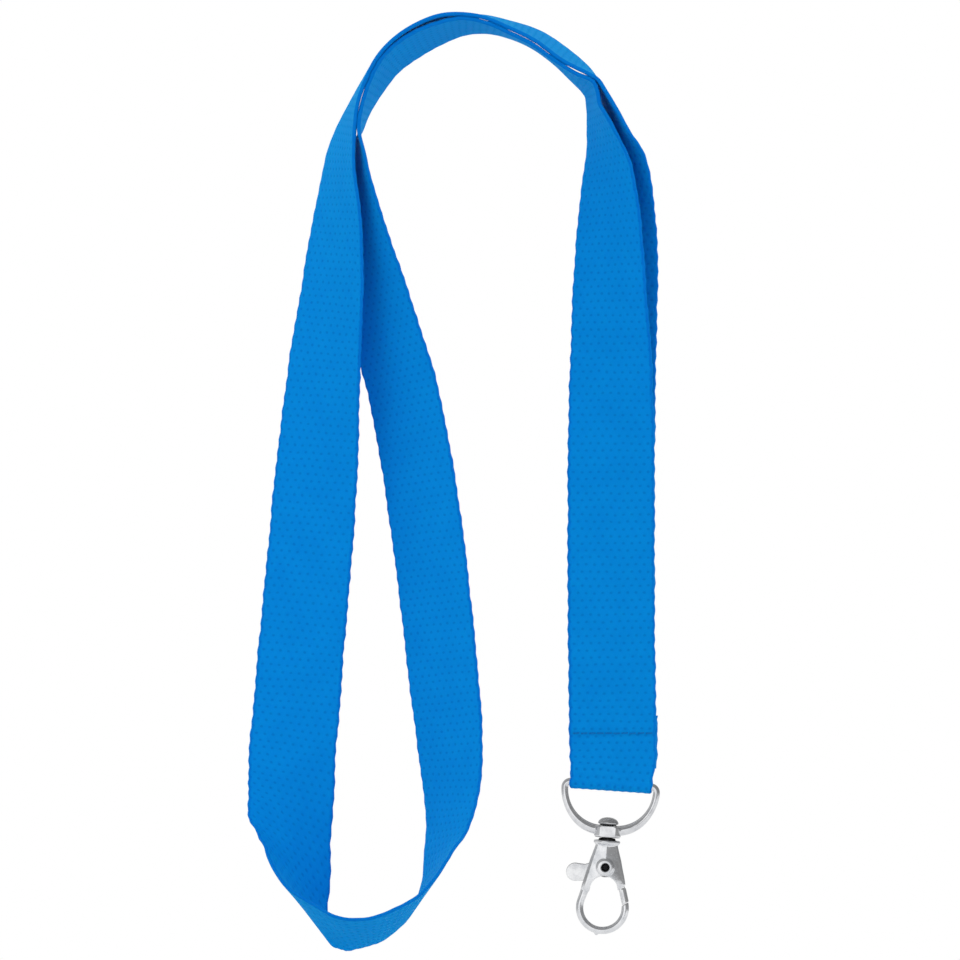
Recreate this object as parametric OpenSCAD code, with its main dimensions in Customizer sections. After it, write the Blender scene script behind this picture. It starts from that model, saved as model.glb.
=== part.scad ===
// Lanyard badge holder: one length of webbing, lapped and sewn round a D-ring that carries a
// swivelling trigger hook. It hangs from the top of its arch, where a peg or a neck carries it.
// Units are millimetres. +Z is up, the wearer's front is -Y.

/* [Webbing] */
// Width of the webbing
strap_width = 20; // [15:0.5:25]
// Thickness of the webbing
strap_thickness = 0.8; // [0.5:0.05:1.2]
// How much each side of the webbing gives way inside the ring
ring_pinch = 0.5; // [0.2:0.02:0.8]
// How far from the ring bar the webbing is pinched
pinch_reach = 3; // [2:0.5:6]
// Longest step between two cross-sections
strap_step = 2.6; // [1.5:0.1:6]

/* [Seam] */
// Distance of the seam above the ring bar
seam_height = 11.7; // [8:0.1:14]
// Number of stitches across the strap
stitches = 10; // [5:1:11]
// Distance between two needle holes
stitch_pitch = 1.86; // [1.5:0.02:2.4]
// Thickness of the thread
thread = 0.4; // [0.2:0.02:0.5]

/* [Ring] */
// Lean of the ring and hook to one side
hardware_tilt = 4; // [0:0.5:8]
// Diameter of the ring wire
ring_wire = 1.6; // [1.4:0.1:2]
// Half of the ring width, to the middle of the wire
ring_half = 10.55; // [10:0.1:12]
// Distance from the bar to the middle of the swivel eye
eye_drop = 11; // [10:0.1:12.5]
// Height of the swivel eye
eye_height = 2.7; // [2:0.1:3.5]
// Diameter of the swivel eye
eye_diameter = 6.1; // [5:0.1:7]

/* [Swivel] */
// Diameter of the rivet stem
stem_diameter = 2.5; // [2:0.1:3]
// Gap round the stem in the eye
stem_gap = 0.05; // [0.02:0.01:0.1]
// Diameter of the rivet head
head_diameter = 4.8; // [4:0.1:5.2]

/* [Hook] */
// Distance from the bar to the trigger pin
pin_drop = 19.2; // [18:0.1:21]
// Distance from the bar to the middle of the round bow
bow_drop = 28.5; // [26:0.1:30]
// Radius of the bow, to the middle of its section
bow_radius = 5.25; // [4.5:0.05:6]
// Thickness of the bow section
bow_wire = 1.7; // [1.4:0.1:2]
// Thickness of the casting in the middle
hook_depth = 4.4; // [3.8:0.1:5]
// Width of the slot for the trigger
slot = 1.6; // [1.3:0.1:2]
// Diameter of the trigger pin
pin_diameter = 1.5; // [1.2:0.1:1.8]

/* [Trigger] */
// Thickness of the trigger
trigger_thickness = 1.4; // [1.1:0.1:1.6]
// Reach of the thumb tab from the pin
tab_reach = 9; // [7:0.1:10]
// Wire of the closing spring
spring_wire = 0.3; // [0.2:0.02:0.4]

/* [Hidden] */
$fn = 48;

blue = [0.02, 0.45, 0.8];
thread_blue = [0.01, 0.36, 0.7];
nickel = [0.8, 0.81, 0.83];
cast = [0.78, 0.79, 0.81];
steel = [0.7, 0.71, 0.73];

half = strap_width / 2;
bar_place = [30.6, 0, -172.5];
bar_dir = [cos(hardware_tilt), 0, -sin(hardware_tilt)];
axis_dir = [sin(hardware_tilt), 0, cos(hardware_tilt)];
wrap = ring_wire / 2 + strap_thickness / 2 + 0.05;

// Route of the webbing. Each station is x, y, z of its middle line, then the roll of its
// width about the route, then how far the creases slant across it.
// Up the back of the right leg, over the arch on the outside, down the left strand.
outer_run = [
    [31.2, 1.95, -168.8, 0, 0], [31.3, 1, -160.8, 0, 0], [31.1, 0.95, -156.5, 0, 0],
    [30.8, 0.55, -150, 0, 0], [30.7, 0.42, -139.4, 0, 0], [30.7, 0.42, -121, 0, 0],
    [30.7, 0.6, -102.6, 2, 0],
    [30.9, 2, -84.2, 6, 0], [31.3, 2.7, -70.4, 12, 0], [32.1, 2.9, -55.4, 21, 0],
    [32.5, 2.5, -41.4, 33, 0], [32.7, 1.7, -34.5, 43, 0], [32.5, 1.1, -29, 52, 0],
    [31.35, 0.5, -24, 64, 0], [30.66, 0.2, -18.5, 80, 0], [28.75, 0, -13.4, 87, 0],
    [27.4, 0, -10.6, 90, 0], [25.17, 0, -8.5, 94.3, 0], [20.2, 0, -5.1, 99, 0],
    [13.7, 0, -0.59, 98, 0], [6.92, 0, 2.16, 95, 0], [0.29, 0, 4.09, 91.5, 0],
    [-7.57, 0, 3.9, 88, 0], [-13, 0, 2.18, 88, 0], [-18.4, 0, -1, 88.5, 0],
    [-22.89, 0, -5.18, 90.3, 0], [-26.19, 0, -10.9, 92, 0], [-28.49, 0, -16.13, 95.3, 0],
    [-30.19, 0, -21.57, 101.8, 0],
    [-31.37, 0, -26.74, 107.8, 0], [-31.9, 0, -31.5, 111.7, 0], [-32.3, 0, -41.6, 123, 0],
    [-33, 0, -52.4, 132, 0], [-34, 0, -63.9, 139, 0], [-35.2, 0, -75, 146, 0],
    [-35.9, 0, -84.2, 151, 0], [-36.6, 0, -93.4, 157, 0], [-37.3, 0, -102.6, 163, 0],
    [-38.8, 0, -121, 168, 0], [-40.5, 0, -139.4, 171, 0], [-41.6, 0, -153.2, 175, 0],
    [-42.7, 0, -165.8, 181, 0.1], [-43.1, 0, -176.2, 189, 0.3]];
// The soft fold at the lower left, the low bend, and the turn up again at the lower right.
low_bend = [
    [-43.4, -0.3, -183.1, 198, 0.5], [-43.1, -1.2, -188.8, 212, 0.7],
    [-42.6, -2.8, -193.9, 232, 0.85], [-41.4, -5, -198.3, 256, 0.85],
    [-39.1, -7.2, -201.7, 276, 0.75], [-35.4, -8.8, -204.4, 288, 0.55],
    [-30.6, -9.4, -206.3, 291, 0.3], [-24.6, -9, -206.1, 289, 0.1],
    [-19.6, -7.6, -204.1, 285, -0.1], [-15.2, -6, -201, 277, -0.2],
    [-12, -4.4, -197.1, 269, -0.3], [-9.9, -3.2, -193, 261, -0.3]];
// Up the right strand, back over the arch on the inside, down the front of the right leg.
inner_run = [
    [-8.4, -2.3, -188.4, 252, -0.2], [-6.9, -1.4, -183.1, 242, -0.1], [-6.2, -0.7, -176.6, 233, 0],
    [-6.1, -0.3, -169.3, 225, 0], [-6.8, 0, -158.9, 219, 0], [-8.1, 0, -146.3, 216, 0],
    [-9.8, 0, -130.2, 215, 0], [-12.1, 0, -111.8, 214, 0], [-15, 0, -93.4, 215, 0],
    [-17.9, 0, -79.6, 216, 0], [-22, 0, -65.8, 219, 0], [-24.5, 0, -56.6, 223, 0],
    [-26.7, 0, -47.4, 231, 0], [-27.7, 0, -39.3, 241, 0], [-28.1, 0, -33.1, 250, 0],
    [-27.8, 0, -27.1, 260, 0], [-27.2, 0, -22.28, 271, 0], [-26.28, 0, -18.3, 274.6, 0],
    [-24.91, 0, -14.85, 277.6, 0], [-22.98, 0, -11.05, 280.8, 0], [-20.1, 0, -6.79, 283.5, 0],
    [-14.77, 0, -2.58, 284.8, 0], [-8.87, 0, 0.27, 282.7, 0], [-3.3, 0, 1.85, 279.5, 0],
    [2.3, 0, 1.43, 274.6, 0], [7.02, 0, -0.11, 271.4, 0], [12.2, 0, -2.48, 270.4, 0],
    [17.45, 0, -6.2, 270.3, 0], [22.2, 0, -9.89, 274.1, 0], [25.38, 0, -12.07, 278.7, 0],
    [26.2, 0, -13.66, 277.5, 0], [26.7, 0, -16.75, 278, 0], [27.7, 0, -20.25, 284, 0], [28.85, 0, -24.85, 291.6, 0],
    [29.7, -0.2, -30.1, 302, 0], [30, -0.5, -35.9, 309, 0], [30.2, -0.9, -42.8, 316, 0],
    [30.2, -1.2, -52, 323, 0], [30.3, -1.3, -62.6, 330, 0], [30.6, -1, -74.5, 339, 0],
    [30.6, -0.8, -84.2, 346, 0], [30.6, -0.65, -93.4, 353, 0], [30.6, -0.55, -107.2, 359, 0],
    [30.6, -0.55, -130.2, 360, 0], [30.9, -0.75, -150.9, 360, 0]];
loose = concat(outer_run, low_bend, inner_run);

function beside_bar(y, z) = concat(bar_place + [0, y, 0] + z * axis_dir, [360, 0]);
function seam_place(y) = concat(bar_place + [0.35, y, seam_height], [360, 0]);
function tucked_place(z) = concat(bar_place + [0.7, 0.1, seam_height + z], [360, 0]);
// Down to the bar, round it, and up behind as the tucked end.
turn = concat(
    [seam_place(-0.75), beside_bar(-1.12, 5), beside_bar(-wrap, 1.2)],
    [for (a = [0:30:180]) beside_bar(-wrap * cos(a), -wrap * sin(a))],
    [beside_bar(wrap, 1.2), beside_bar(0.92, 5), tucked_place(0), tucked_place(4)]);
route = concat(loose, turn);

function place(p) = [p[0], p[1], p[2]];
function gap(a, b) = sqrt(max(norm(place(b) - place(a)), 0.01));
function mix(a, b, ta, tb, t) = ((tb - t) * a + (t - ta) * b) / (tb - ta);
function smooth(p, k1, k2, k3, t) =
    let (a = mix(p[0], p[1], 0, k1, t), b = mix(p[1], p[2], k1, k2, t), c = mix(p[2], p[3], k2, k3, t))
    mix(mix(a, b, 0, k2, t), mix(b, c, k1, k3, t), k1, k2, t);
function span(p) =
    let (k1 = gap(p[0], p[1]), k2 = k1 + gap(p[1], p[2]), k3 = k2 + gap(p[2], p[3]))
    let (n = max(1, ceil(norm(place(p[2]) - place(p[1])) / strap_step)))
    [for (i = [0:n - 1]) smooth(p, k1, k2, k3, k1 + (k2 - k1) * i / n)];
last = len(route) - 1;
ends = concat([2 * route[0] - route[1]], route, [2 * route[last] - route[last - 1]]);
line = concat([for (i = [0:last - 1]) each span([for (j = [0:3]) ends[i + j]])], [route[last]]);
count = len(line);

function unit(v) = v / norm(v);
function along(i) = unit(place(line[min(i + 1, count - 1)]) - place(line[max(i - 1, 0)]));
// Where the middle line runs straight toward or away, the width simply follows the bar.
function side(t, roll) =
    norm([t[2], t[0]]) < 0.35 ? -bar_dir :
    let (n = unit([t[2], 0, -t[0]]))
    cos(roll) * n + sin(roll) * cross(n, t);
function near_bar(p) = max(0, 1 - max(0, norm(place(p) - bar_place) - pinch_reach) / 3);

// Half of the webbing section, from edge to edge: position across, position through.
section = [[-1, 0.25], [-0.975, 0.5], [0.975, 0.5], [1, 0.25],
    [1, -0.25], [0.975, -0.5], [-0.975, -0.5], [-1, -0.25]];
corners = len(section);
function ring_points(i) =
    let (t = along(i), w = side(t, line[i][3]), n = cross(t, w))
    let (u = (half - ring_pinch * near_bar(line[i])) * (w + line[i][4] * t))
    [for (s = section) place(line[i]) + s[0] * u + s[1] * strap_thickness * n];

module webbing_strap() {
    points = [for (i = [0:count - 1]) each ring_points(i)];
    walls = [for (i = [0:count - 2]) for (j = [0:corners - 1])
        let (k = (j + 1) % corners, a = i * corners, b = a + corners)
        each [[a + j, a + k, b + k], [a + j, b + k, b + j]]];
    cap_a = [for (j = [1:corners - 2]) [0, j + 1, j]];
    z = (count - 1) * corners;
    cap_b = [for (j = [1:corners - 2]) [z, z + j, z + j + 1]];
    color(blue)
    polyhedron(points = points, faces = concat(walls, cap_a, cap_b));
}

// Frame with its origin on the bar: X along the bar, Z up the middle line of ring and hook.
module from_bar() {
    translate(bar_place)
    rotate([0, hardware_tilt, 0])
    children();
}

module rod(a, b, d) {
    v = b - a;
    translate(a)
    rotate([0, acos(v[2] / norm(v)), atan2(v[1], v[0])])
    cylinder(d = d, h = norm(v));
}

// A bead no thicker than the finish closes each join between a bend and a straight.
module bead(at, d) {
    translate(at)
    sphere(d = d + 0.04);
}

// The seam lies level across the leaning hardware.
module from_seam() {
    translate(bar_place + [0.35, 0, seam_height])
    children();
}

front_face = -0.75 - strap_thickness / 2;
back_face = 1 + strap_thickness / 2;
middle = 0.1;

// One run of lockstitch: short bars on the face, joined by legs that go down the needle holes.
module stitch_row(face, deep) {
    y = face + (face < 0 ? -1 : 1) * (thread / 2 - 0.1);
    for (i = [0:stitches - 1]) {
        x = (i - stitches / 2) * stitch_pitch;
        translate([x + 0.22, y, 0])
        rotate([0, 90, 0])
        cylinder(d = thread, h = stitch_pitch - 0.44);
    }
    for (i = [0:stitches]) {
        x = (i - stitches / 2) * stitch_pitch;
        rod([x, y + (face < 0 ? 0.05 : -0.05), 0], [x, deep, 0], thread * 0.8);
        for (s = [-1, 1])
            if ((s < 0 && i > 0) || (s > 0 && i < stitches))
                rod([x + s * 0.3, y, 0], [x - s * 0.02, y + (face < 0 ? 0.18 : -0.18), 0],
                    thread * 0.9);
    }
}

module needle_thread() {
    color(thread_blue)
    from_seam()
    stitch_row(front_face, middle - 0.3);
}

module bobbin_thread() {
    color(thread_blue)
    from_seam()
    stitch_row(back_face, middle + 0.3);
}

// The ring: a straight bar, tight shoulders, legs in one sweep, and a swivel eye cast at the bottom.
shoulder = 1.3;
leg_radius = 9;
leg_sweep = 83;
eye_top = -eye_drop + eye_height / 2;
eye_foot = -eye_drop - eye_height / 2;

module ring_leg() {
    translate([ring_half - shoulder, 0, -shoulder])
    rotate([90, 0, 0])
    rotate_extrude(angle = 90)
    translate([shoulder, 0])
    circle(d = ring_wire, $fn = 32);
    translate([ring_half - leg_radius, 0, -shoulder])
    rotate([-90, 0, 0])
    rotate_extrude(angle = leg_sweep)
    translate([leg_radius, 0])
    circle(d = ring_wire, $fn = 32);
    bead([ring_half - shoulder, 0, 0], ring_wire);
    bead([ring_half, 0, -shoulder], ring_wire);
}

module d_ring() {
    color(nickel)
    from_bar()
    difference() {
        union() {
            rod([-(ring_half - shoulder), 0, 0], [ring_half - shoulder, 0, 0], ring_wire);
            ring_leg();
            rotate([0, 0, 180])
            ring_leg();
            intersection() {
                translate([0, 0, eye_foot])
                cylinder(d = eye_diameter, h = eye_height);
                translate([-4, -2.4, eye_foot - 1])
                cube([8, 4.8, eye_height + 2]);
            }
        }
        translate([0, 0, eye_foot - 1])
        cylinder(d = stem_diameter + 2 * stem_gap, h = eye_height + 2);
    }
}

// The rivet: a domed head that bears on the eye and a stem sunk in the hook.
module swivel_rivet() {
    dome = 1.58;
    dome_radius = 2.9;
    color(steel)
    from_bar() {
        translate([0, 0, eye_top + 0.08])
        cylinder(d = head_diameter - 1, h = 0.4);
        translate([0, 0, eye_top + 0.4])
        intersection() {
            cylinder(d = head_diameter, h = dome);
            translate([0, 0, dome - dome_radius])
            sphere(r = dome_radius);
        }
        translate([0, 0, eye_foot - 2.6])
        cylinder(d = stem_diameter, h = eye_height + 3);
    }
}

collar_top = eye_foot - 0.1;
flange_top = collar_top - 0.5;
neck_top = flange_top - 0.9;
round_top = -24.4;
round_top_radius = 3.2;
eye_radius = bow_radius - bow_wire / 2;
wedge = asin((eye_radius - round_top_radius) / (bow_drop + round_top));

// Outline of the casting: narrow neck, shoulders that spread down to the bow.
module hook_outline() {
    polygon([[-2.4, neck_top + 0.6], [2.4, neck_top + 0.6], [2.5, neck_top - 0.3], [3.05, -15.8],
        [3.55, -17.4], [4, -19.2], [4.5, -21], [4.95, -22.9], [4.95, -23.05], [3.4, -24.3], [2, -25],
        [-3.3, -25], [-4.2, -25], [-5.35, -24.6], [-4.95, -22.9], [-4.5, -21], [-4, -19.2],
        [-3.55, -17.4], [-3.05, -15.8], [-2.5, neck_top - 0.3]]);
}

// The egg-shaped eye that takes a badge slot or a key ring.
module eye_outline() {
    translate([0, round_top])
    circle(r = round_top_radius);
    translate([0, -bow_drop])
    circle(r = eye_radius);
    x1 = round_top_radius * cos(wedge) - 0.02;
    x2 = eye_radius * cos(wedge) - 0.02;
    z1 = round_top + round_top_radius * sin(wedge);
    z2 = -bow_drop + eye_radius * sin(wedge);
    polygon([[-x1, z1], [x1, z1], [x2, z2], [-x2, z2]]);
}

// Room for the trigger between the two walls, open at both sides.
module slot_outline() {
    translate([0, -pin_drop])
    circle(r = 3.1);
    polygon([[-8, -15.4], [-3.6, -16], [0, -16.3], [1.8, -16.7], [3, -18.6], [8, -18.8], [8, -26],
        [2, -26], [-1.5, -21.6], [-3.2, -23.05], [-8, -23.05]]);
}

module plate(y, h) {
    translate([0, y + h, 0])
    rotate([90, 0, 0])
    linear_extrude(height = h)
    children();
}

module hook_body() {
    belly = 14;
    color(cast)
    from_bar() {
        difference() {
            union() {
                intersection() {
                    plate(-3, 6)
                    hook_outline();
                    translate([0, belly - hook_depth / 2, -30])
                    cylinder(r = belly, h = 20, $fn = 96);
                    translate([0, hook_depth / 2 - belly, -30])
                    cylinder(r = belly, h = 20, $fn = 96);
                }
                translate([0, 0, neck_top])
                cylinder(d = 6.1, h = flange_top - neck_top);
                translate([0, 0, neck_top - 1.2])
                cylinder(d1 = 4.2, d2 = 5.4, h = 1.3);
                translate([0, 0, flange_top - 0.1])
                cylinder(d = 3.8, h = collar_top - flange_top + 0.1);
                translate([0, hook_depth / 2 + 0.1, -pin_drop])
                rotate([90, 0, 0])
                cylinder(d = 3.9, h = hook_depth + 0.2);
            }
            plate(-slot / 2, slot)
            slot_outline();
            plate(-4, 8)
            eye_outline();
            translate([0, 4, -pin_drop])
            rotate([90, 0, 0])
            cylinder(d = pin_diameter, h = 8);
            translate([0, 0, eye_foot - 2.6])
            cylinder(d = stem_diameter, h = 4);
        }
        bow();
    }
}

// Gate and nose meet on a slant, with a hair of daylight between them.
nose_slant = 35;
nose_gap = 0.2;
module nose_side(way) {
    translate([5.15, 0, -27.3])
    rotate([0, -nose_slant, 0])
    translate([-3, -3, way < 0 ? nose_gap / 2 - 6 : -nose_gap / 2])
    cube([6, 6, 6]);
}

// The round bow, from the left arm down and up to the nose that meets the gate.
module bow() {
    difference() {
        translate([0, 0, -bow_drop])
        rotate([90, 0, 0])
        rotate([0, 0, 180 - wedge])
        rotate_extrude(angle = 180 + wedge + 22)
        translate([bow_radius, 0])
        circle(d = bow_wire, $fn = 32);
        nose_side(1);
    }
    arm_foot = [-bow_radius * cos(wedge), 0, -bow_drop + bow_radius * sin(wedge)];
    arm_top = arm_foot + 4.4 * [sin(wedge), 0, cos(wedge)];
    rod(arm_foot, arm_top, bow_wire);
    bead(arm_foot, bow_wire);
    translate([-1, 0, -bow_drop - bow_radius - bow_wire / 2 + 0.1])
    sphere(r = 0.45);
}

gate_top = [4.36, 0, -24.2];
gate_foot = [5.5, 0, -28.2];
module trigger_outline() {
    translate([0, -pin_drop])
    circle(r = 2.3);
    polygon([[-1, -pin_drop + 2], [-4.6, -18.75], [-6.9, -18.6], [-6.9, -22.75], [-5.4, -22.7],
        [-3.6, -22.2], [-1.6, -pin_drop - 1.4]]);
    polygon([[1.5, -pin_drop + 1.6], [3.1, -19.4], [3.9, -21.2], [4.75, -23.3], [5.1, -24.9],
        [3.8, -24.9], [3.3, -23.1], [1.7, -21.5], [-0.5, -21.3]]);
}

module trigger_lever() {
    color(cast)
    from_bar()
    difference() {
        union() {
            plate(-trigger_thickness / 2, trigger_thickness)
            trigger_outline();
            intersection() {
                plate(-trigger_thickness / 2, trigger_thickness)
                translate([-tab_reach + 2.2, -pin_drop - 1.5])
                circle(r = 2.15);
                translate([-10, -1, -24])
                cube([5, 2, 8]);
            }
            rod(gate_top, gate_foot, bow_wire);
        }
        nose_side(-1);
        translate([0, 4, -pin_drop])
        rotate([90, 0, 0])
        cylinder(d = pin_diameter + 0.1, h = 8);
        translate([0, 4, -pin_drop])
        rotate([90, 0, 0])
        cylinder(r = 1.75, h = 4);
    }
}

module lever_pin() {
    color(steel)
    from_bar()
    translate([0, hook_depth / 2 - 0.1, -pin_drop])
    rotate([90, 0, 0])
    cylinder(d = pin_diameter, h = hook_depth - 0.9);
}

// Closing spring, coiled round the pin in a pocket in the back of the trigger.
module lever_spring() {
    color(steel)
    from_bar()
    for (y = [0.2, 0.52])
        translate([0, y, -pin_drop])
        rotate([90, 0, 0])
        rotate_extrude()
        translate([1.2, 0])
        circle(d = spring_wire + 0.04, $fn = 16);
}

webbing_strap();
needle_thread();
bobbin_thread();
d_ring();
swivel_rivet();
hook_body();
trigger_lever();
lever_pin();
lever_spring();
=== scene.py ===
# Lanyard badge holder: a woven strap sewn round a D-ring, a swivel rivet and a trigger hook.
import math
import random

import bmesh
import bpy
import numpy as np
from mathutils import Matrix, Vector


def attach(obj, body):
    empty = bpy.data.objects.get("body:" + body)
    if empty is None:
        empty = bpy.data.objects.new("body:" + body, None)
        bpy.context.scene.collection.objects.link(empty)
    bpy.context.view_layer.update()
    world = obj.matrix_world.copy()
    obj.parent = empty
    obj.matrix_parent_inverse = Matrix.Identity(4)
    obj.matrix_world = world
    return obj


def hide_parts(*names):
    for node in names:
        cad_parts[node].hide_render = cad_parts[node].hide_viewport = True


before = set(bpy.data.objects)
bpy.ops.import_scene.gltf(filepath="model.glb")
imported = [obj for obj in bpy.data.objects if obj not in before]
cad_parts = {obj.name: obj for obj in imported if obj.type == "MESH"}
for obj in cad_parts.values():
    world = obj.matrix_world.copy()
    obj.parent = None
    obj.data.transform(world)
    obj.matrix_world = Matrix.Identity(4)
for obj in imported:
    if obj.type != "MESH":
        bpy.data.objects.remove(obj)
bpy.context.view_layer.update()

random.seed(11)
mm = 0.001
barPlace = Vector((0.0306, 0, -0.1725))  # middle of the ring's straight bar
hardwareTilt = math.radians(4)
hardwareFrame = Matrix.Translation(barPlace) @ Matrix.Rotation(hardwareTilt, 4, "Y") @ Matrix.Scale(mm, 4)
print("frame loaded:", len(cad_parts), "nodes")


# Modelling helpers; the metal parts are drawn in mm from the middle of the ring bar

def smoothStep(low, high, value):
    t = min(max((value - low) / (high - low), 0), 1)
    return t * t * (3 - 2 * t)


def looseObject(name, bm):
    mesh = bpy.data.meshes.new(name)
    bm.to_mesh(mesh)
    bm.free()
    made = bpy.data.objects.new(name, mesh)
    bpy.context.scene.collection.objects.link(made)
    return made


def finishPiece(name, bm, body, nodes, material):
    made = looseObject(name, bm)
    made.data.materials.append(material)
    made.data.shade_smooth()
    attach(made, body)
    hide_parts(*nodes)
    print("made", name, len(made.data.polygons), "faces")
    return made


def toPlace(bm, placeFrame=hardwareFrame):
    bmesh.ops.recalc_face_normals(bm, faces=bm.faces)
    bmesh.ops.transform(bm, matrix=placeFrame, verts=bm.verts)
    return bm


# Marks how deep in a recess each place of a metal part lies, so the painted shade and dull plating follow.
def markRecess(bm, depthAt):
    layer = bm.verts.layers.float.new("recess")
    for v in bm.verts:
        v[layer] = depthAt(v.co)


def closeHoles(bm):
    rim = [e for e in bm.edges if len(e.link_faces) == 1]
    bmesh.ops.holes_fill(bm, edges=rim, sides=0)


# A round wire drawn along a line of places; lobes and twist make it a two-ply thread.
def sweepWire(bm, places, radii, flat, segments=20, lobes=0.0, twist=0.0):
    last = len(places) - 1

    def station(i):
        ahead = (places[min(i + 1, last)] - places[max(i - 1, 0)]).normalized()
        across = flat.cross(ahead).normalized()
        up = ahead.cross(across)
        turn = Matrix((across * radii[i], up * radii[i], ahead * radii[i])).transposed().to_4x4()
        turn.translation = places[i]
        return turn @ Matrix.Rotation(twist * i, 4, "Z")

    ring = bmesh.ops.create_circle(bm, cap_ends=False, segments=segments, radius=1.0)["verts"]
    for v in ring:
        angle = math.atan2(v.co.y, v.co.x)
        v.co *= 1 - lobes * (1 - math.cos(2 * angle)) / 2
    here = station(0)
    bmesh.ops.transform(bm, matrix=here, verts=ring)
    edges = list({e for v in ring for e in v.link_edges})
    for i in range(1, last + 1):
        made = bmesh.ops.extrude_edge_only(bm, edges=edges)["geom"]
        ring = [g for g in made if isinstance(g, bmesh.types.BMVert)]
        known = set(ring)
        edges = [g for g in made if isinstance(g, bmesh.types.BMEdge) and set(g.verts) <= known]
        there = station(i)
        bmesh.ops.transform(bm, matrix=there @ here.inverted(), verts=ring)
        here = there
    closeHoles(bm)


# A turned solid: half of its outline as (radius, height), spun once about the middle line.
def turnSolid(bm, outline, steps=48, closed=False, frameMatrix=Matrix()):
    verts = [bm.verts.new((r, 0, z)) for r, z in outline]
    pairs = list(zip(verts, verts[1:])) + ([(verts[-1], verts[0])] if closed else [])
    edges = [bm.edges.new(pair) for pair in pairs]
    bmesh.ops.spin(bm, geom=verts + edges, angle=2 * math.pi, steps=steps, axis=(0, 0, 1),
                   cent=(0, 0, 0), use_merge=True)
    made = set(verts)
    grown = list(verts)
    while grown:
        v = grown.pop()
        for e in v.link_edges:
            other = e.other_vert(v)
            if other not in made:
                made.add(other)
                grown.append(other)
    made = list(made)
    bmesh.ops.remove_doubles(bm, verts=made, dist=0.0005)
    made = [v for v in made if v.is_valid]
    bmesh.ops.transform(bm, matrix=frameMatrix, verts=made)


# A flat plate cut to an outline in x and z, centred on y.
def platePiece(bm, outline, depth):
    verts = [bm.verts.new((x, -depth / 2, z)) for x, z in outline]
    face = bm.faces.new(verts)
    made = bmesh.ops.extrude_face_region(bm, geom=[face], use_keep_orig=True)["geom"]
    lid = [g for g in made if isinstance(g, bmesh.types.BMVert)]
    bmesh.ops.translate(bm, vec=(0, depth, 0), verts=lid)


def circleOutline(x, z, radius, steps=36):
    turns = [2 * math.pi * i / steps for i in range(steps)]
    return [(x + radius * math.cos(a), z + radius * math.sin(a)) for a in turns]


# Adds all of one loose mesh to another.
def pourInto(bm, other):
    spare = bpy.data.meshes.new("spare")
    other.to_mesh(spare)
    other.free()
    bm.from_mesh(spare)
    bpy.data.meshes.remove(spare)


# Overlapping solids become one casting with softened edges, after the cutters are taken away.
def castTogether(bm, cutters, voxel, softening):
    bmesh.ops.recalc_face_normals(bm, faces=bm.faces)
    rough = looseObject("rough", bm)
    tools = []
    for cutter in cutters:
        bmesh.ops.recalc_face_normals(cutter, faces=cutter.faces)
        tools.append(looseObject("cutter", cutter))
        carve = rough.modifiers.new("carve", "BOOLEAN")
        carve.operation, carve.solver = "DIFFERENCE", "EXACT"
        carve.object, carve.use_self = tools[-1], True
    skin = rough.modifiers.new("skin", "REMESH")
    skin.mode, skin.voxel_size = "VOXEL", voxel
    soft = rough.modifiers.new("soft", "SMOOTH")
    soft.factor, soft.iterations = 0.5, softening
    cast = bmesh.new()
    bpy.context.view_layer.update()
    cast.from_object(rough, bpy.context.evaluated_depsgraph_get())
    for extra in [rough, *tools]:
        bpy.data.objects.remove(extra)
    return cast


# Shader helpers

def joinSocket(tree, value, socket):
    if isinstance(value, bpy.types.NodeSocket):
        tree.links.new(value, socket)
    elif value is not None:
        socket.default_value = value


def mathNode(tree, operation, *values, clamp=False):
    node = tree.nodes.new("ShaderNodeMath")
    node.operation, node.use_clamp = operation, clamp
    for socket, value in zip(node.inputs, values):
        joinSocket(tree, value, socket)
    return node.outputs[0]


def rangeNode(tree, value, low, high, toLow=0.0, toHigh=1.0):
    node = tree.nodes.new("ShaderNodeMapRange")
    node.interpolation_type = "SMOOTHSTEP"
    for name, given in (("Value", value), ("From Min", low), ("From Max", high),
                        ("To Min", toLow), ("To Max", toHigh)):
        joinSocket(tree, given, node.inputs[name])
    return node.outputs[0]


def mixColor(tree, share, first, second, blend="MIX"):
    node = tree.nodes.new("ShaderNodeMix")
    node.data_type, node.blend_type = "RGBA", blend
    joinSocket(tree, share, node.inputs[0])
    joinSocket(tree, first, node.inputs[6])
    joinSocket(tree, second, node.inputs[7])
    return node.outputs[2]


def noiseNode(tree, place, scale, detail=2.0, roughness=0.5):
    node = tree.nodes.new("ShaderNodeTexNoise")
    for name, given in (("Vector", place), ("Scale", scale), ("Detail", detail), ("Roughness", roughness)):
        joinSocket(tree, given, node.inputs[name])
    return node.outputs[0]


def newGroup(name, inputs, outputs):
    group = bpy.data.node_groups.new(name, "ShaderNodeTree")
    for label, kind in inputs:
        group.interface.new_socket(label, in_out="INPUT", socket_type="NodeSocket" + kind)
    for label, kind in outputs:
        group.interface.new_socket(label, in_out="OUTPUT", socket_type="NodeSocket" + kind)
    return group, group.nodes.new("NodeGroupInput").outputs, group.nodes.new("NodeGroupOutput").inputs


def placeGroup(tree, group, **values):
    node = tree.nodes.new("ShaderNodeGroup")
    node.node_tree = group
    for label, given in values.items():
        joinSocket(tree, given, node.inputs[label])
    return node.outputs


def newMaterial(name):
    material = bpy.data.materials.new(name)
    material.use_nodes = True
    tree = material.node_tree
    return material, tree, tree.nodes["Principled BSDF"].inputs


def addBump(tree, height, normalSocket, strength, distance):
    node = tree.nodes.new("ShaderNodeBump")
    node.inputs["Strength"].default_value = strength
    node.inputs["Distance"].default_value = distance
    tree.links.new(height, node.inputs["Height"])
    tree.links.new(node.outputs[0], normalSocket)


# Finishes

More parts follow.
